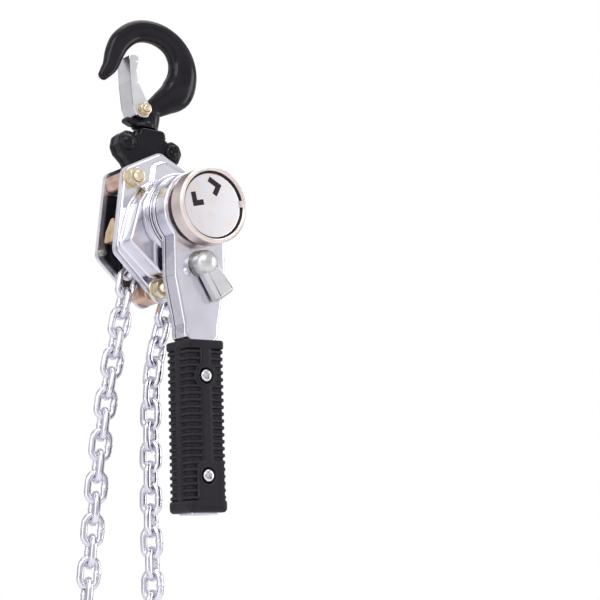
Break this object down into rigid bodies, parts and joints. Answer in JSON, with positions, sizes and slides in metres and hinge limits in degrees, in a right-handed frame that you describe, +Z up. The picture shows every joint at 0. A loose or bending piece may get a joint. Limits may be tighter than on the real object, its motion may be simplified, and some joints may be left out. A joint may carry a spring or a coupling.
{
  "type": "lever chain hoist",
  "caption": "Small hand lever chain hoist with swivelling top hook, open side plates, ratchet brake, gear train, pressed lever with ribbed grip, round hand wheel, link chain and bottom hook.",
  "frame": {"origin": "the seat inside the top hook's bowl, where the hoist hangs", "axes": "+Z up, -Y towards the hand wheel and the lever, +X away from the hooks' open side"},
  "size_m": [0.1134, 0.091, 0.6769],
  "materials": {
    "hook_black": "satin black over forged steel",
    "yoke_black": "satin black",
    "latch_zinc": "bright zinc plate",
    "fastener_gold": "yellow zinc plate",
    "spring_steel": "spring wire",
    "plate_zinc": "bright zinc plate",
    "cover_zinc": "bright zinc plate, pressed",
    "bare_steel": "machined, oiled",
    "guide_brass": "yellow zinc plate",
    "guide_copper": "copper-toned plate",
    "gear_steel": "machined, greased",
    "disc_zinc": "bright zinc plate, turned",
    "friction_lining": "pressed friction lining",
    "lever_zinc": "bright zinc plate, pressed",
    "grip_black": "moulded, fine grain",
    "screw_zinc": "bright zinc plate",
    "knob_grey": "satin die casting",
    "wheel_nickel": "warm nickel plate, satin",
    "face_nickel": "warm nickel plate, satin",
    "chain_zinc": "bright zinc plate"
  },
  "bodies": {
    "hook": {"top_hook": "hook_black", "top_latch_bolt": "fastener_gold"},
    "top_latch": {"top_latch": "latch_zinc", "top_latch_spring": "spring_steel"},
    "frame": {"yoke_front": "yoke_black", "yoke_rear": "yoke_black", "yoke_rivet_left": "yoke_black", "yoke_rivet_right": "yoke_black", "top_pin": "bare_steel", "side_plate_front": "plate_zinc", "side_plate_rear": "plate_zinc", "stay_upper_left": "fastener_gold", "stay_upper_right": "fastener_gold", "stay_bottom": "fastener_gold", "stay_nut_upper_left": "fastener_gold", "stay_nut_upper_right": "fastener_gold", "stay_nut_bottom": "fastener_gold", "sheave_bearing_front": "bare_steel", "sheave_bearing_rear": "bare_steel", "brake_cover": "cover_zinc", "gear_cover": "cover_zinc", "chain_guide": "guide_brass", "upper_guide": "guide_copper", "chain_stripper": "guide_copper", "pawl_pin_left": "bare_steel", "pawl_pin_right": "bare_steel", "pawl_spring_left": "spring_steel", "pawl_spring_right": "spring_steel"},
    "sheave": {"load_sheave": "bare_steel", "load_gear": "gear_steel"},
    "pinion": {"pinion_shaft": "gear_steel", "friction_hub": "disc_zinc", "friction_disc_inner": "friction_lining", "wheel_nut": "screw_zinc"},
    "disc_gear_left": {"disc_gear_left": "gear_steel"},
    "disc_gear_right": {"disc_gear_right": "gear_steel"},
    "change_gear": {"change_gear": "disc_zinc", "friction_disc_outer": "friction_lining"},
    "hand_wheel": {"hand_wheel": "wheel_nickel", "wheel_face": "face_nickel"},
    "ratchet_disc": {"ratchet_disc": "disc_zinc"},
    "pawl_left": {"pawl_left": "gear_steel"},
    "pawl_right": {"pawl_right": "gear_steel"},
    "lever": {"lever_outer": "lever_zinc", "lever_inner": "lever_zinc", "grip_front": "grip_black", "grip_rear": "grip_black", "grip_screw_upper": "screw_zinc", "grip_screw_lower": "screw_zinc"},
    "selector": {"selector_knob": "knob_grey", "selector_pawl": "gear_steel"},
    "load_strand": {"load_chain": "chain_zinc", "bottom_yoke": "yoke_black", "chain_pin": "bare_steel"},
    "bottom_hook": {"bottom_hook": "hook_black", "bottom_latch_bolt": "fastener_gold"},
    "bottom_latch": {"bottom_latch": "latch_zinc"},
    "slack_strand": {"slack_chain": "chain_zinc", "chain_hank": "chain_zinc", "chain_end_ring": "bare_steel"}
  },
  "joints": [
    {"name": "hook_swivel", "type": "hinge", "parent": "hook", "child": "frame", "pos_m": [0, 0, -0.0605], "axis": [0, 0, 1], "continuous": true},
    {"name": "top_latch_hinge", "type": "hinge", "parent": "hook", "child": "top_latch", "pos_m": [-0.005, 0, -0.0435], "axis": [0, 1, 0], "range_deg": [0, 30], "stiffness_Nm_per_rad": 0.02, "springref_deg": -17.19},
    {"name": "sheave_turn", "type": "hinge", "parent": "frame", "child": "sheave", "pos_m": [0.0164, 0, -0.1065], "axis": [0, 1, 0], "continuous": true},
    {"name": "pinion_turn", "type": "hinge", "parent": "frame", "child": "pinion", "pos_m": [0.0164, 0, -0.1065], "axis": [0, 1, 0], "continuous": true},
    {"name": "disc_gear_left_turn", "type": "hinge", "parent": "frame", "child": "disc_gear_left", "pos_m": [0.01373, 0, -0.09133], "axis": [0, 1, 0], "continuous": true},
    {"name": "disc_gear_right_turn", "type": "hinge", "parent": "frame", "child": "disc_gear_right", "pos_m": [0.01907, 0, -0.12167], "axis": [0, 1, 0], "continuous": true},
    {"name": "change_gear_turn", "type": "hinge", "parent": "frame", "child": "change_gear", "pos_m": [0.0164, 0, -0.1065], "axis": [0, 1, 0], "continuous": true},
    {"name": "hand_wheel_pull", "type": "slide", "parent": "change_gear", "child": "hand_wheel", "axis": [0, -1, 0], "range_m": [0, 0.0045], "stiffness_N_per_m": 300, "springref_m": -0.003},
    {"name": "ratchet_disc_turn", "type": "hinge", "parent": "frame", "child": "ratchet_disc", "pos_m": [0.0164, 0, -0.1065], "axis": [0, 1, 0], "continuous": true},
    {"name": "pawl_left_swing", "type": "hinge", "parent": "frame", "child": "pawl_left", "pos_m": [-0.00769, 0, -0.12433], "axis": [0, 1, 0], "range_deg": [-8, 4], "stiffness_Nm_per_rad": 0.01, "springref_deg": -17.19},
    {"name": "pawl_right_swing", "type": "hinge", "parent": "frame", "child": "pawl_right", "pos_m": [0.0408, 0, -0.1239], "axis": [0, 1, 0], "range_deg": [-8, 4], "stiffness_Nm_per_rad": 0.01, "springref_deg": -17.19},
    {"name": "lever_swing", "type": "hinge", "parent": "frame", "child": "lever", "pos_m": [0.0164, 0, -0.1065], "axis": [0, 1, 0], "continuous": true},
    {"name": "selector_turn", "type": "hinge", "parent": "lever", "child": "selector", "pos_m": [0.02053, 0, -0.13722], "axis": [0, 1, 0], "range_deg": [0, 48]},
    {"name": "load_strand_swing", "type": "hinge", "parent": "frame", "child": "load_strand", "pos_m": [0.0006, 0, -0.1285], "axis": [0, 1, 0], "range_deg": [0, 12]},
    {"name": "bottom_hook_swivel", "type": "hinge", "parent": "load_strand", "child": "bottom_hook", "pos_m": [-0.0052, 0, -0.3485], "axis": [0, 0, 1], "continuous": true},
    {"name": "bottom_latch_hinge", "type": "hinge", "parent": "bottom_hook", "child": "bottom_latch", "pos_m": [-0.0102, 0, -0.369], "axis": [0, 1, 0], "range_deg": [-30, 0], "stiffness_Nm_per_rad": 0.02, "springref_deg": 17.19},
    {"name": "slack_strand_swing", "type": "hinge", "parent": "frame", "child": "slack_strand", "pos_m": [0.0322, 0, -0.1285], "axis": [0, 1, 0], "range_deg": [-12, 0]}
  ],
  "couplings": [
    {"joint": "pinion_turn", "follows": "sheave_turn", "ratio": 6.25},
    {"joint": "change_gear_turn", "follows": "sheave_turn", "ratio": 6.25},
    {"joint": "disc_gear_left_turn", "follows": "sheave_turn", "ratio": -2.5},
    {"joint": "disc_gear_right_turn", "follows": "sheave_turn", "ratio": -2.5}
  ]
}
